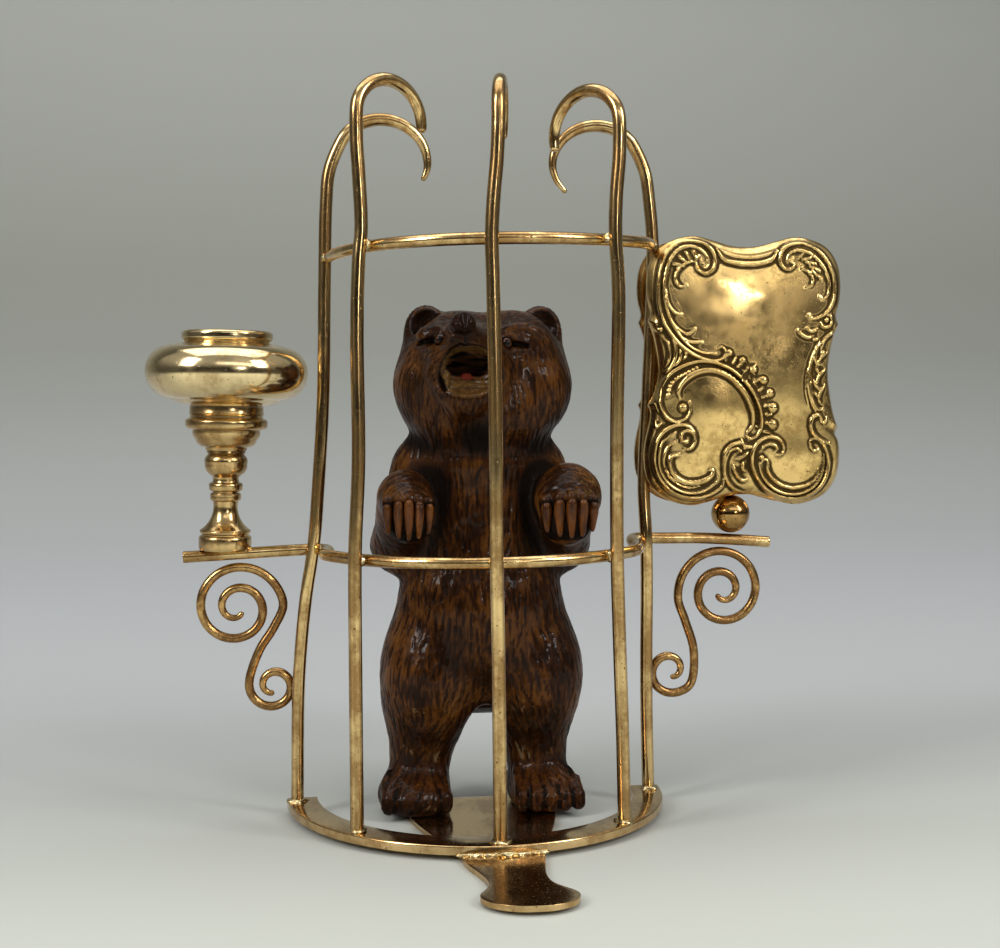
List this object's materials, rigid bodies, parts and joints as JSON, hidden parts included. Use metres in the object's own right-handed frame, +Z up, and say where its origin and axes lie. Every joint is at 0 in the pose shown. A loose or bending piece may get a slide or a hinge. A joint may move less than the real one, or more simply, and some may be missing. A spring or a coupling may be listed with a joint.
{
  "type": "carved bear smoking stand",
  "caption": "Carved wooden bear standing in a cage of hooked brass bars, with a turned cup on one arm and an embossed matchbox clip on the other.",
  "frame": {"origin": "on the floor, under the centre of the half ring that the bars stand on", "axes": "+Z up, -Y towards the front where the foot plate's tongue points, +X to the viewer's right, where the matchbox clip is"},
  "size_m": [0.163, 0.098, 0.1681],
  "materials": {
    "brass_wire": "polished drawn brass wire, brown tarnish where it was not rubbed",
    "brass_scroll": "drawn brass wire, duller and browner than the bars",
    "brass_base": "brass sheet with rubbed edges and pitted brown tarnish",
    "brass_cup": "turned and polished pale brass",
    "brass_clip": "stamped brass, bright on the ridges and dark in the hollows",
    "walnut": "carved walnut, dark stain and gloss varnish, near black in the cuts",
    "eye_glass": "orange brown glass eye, dark in the middle"
  },
  "bodies": {
    "root": {"foot_plate": "brass_base", "ring_band": "brass_base", "bar_left_back": "brass_wire", "bar_left_front": "brass_wire", "bar_centre": "brass_wire", "bar_right_front": "brass_wire", "bar_right_back": "brass_wire", "lower_hoop": "brass_wire", "upper_hoop": "brass_wire", "scroll_left": "brass_scroll", "scroll_right": "brass_scroll", "holder_stem": "brass_cup", "holder_bowl": "brass_cup", "clip_ball": "brass_clip", "clip_front_plate": "brass_clip", "clip_back_plate": "brass_clip", "clip_base_strip": "brass_clip", "bear": "walnut", "eye_left": "eye_glass", "eye_right": "eye_glass"}
  },
  "joints": []
}
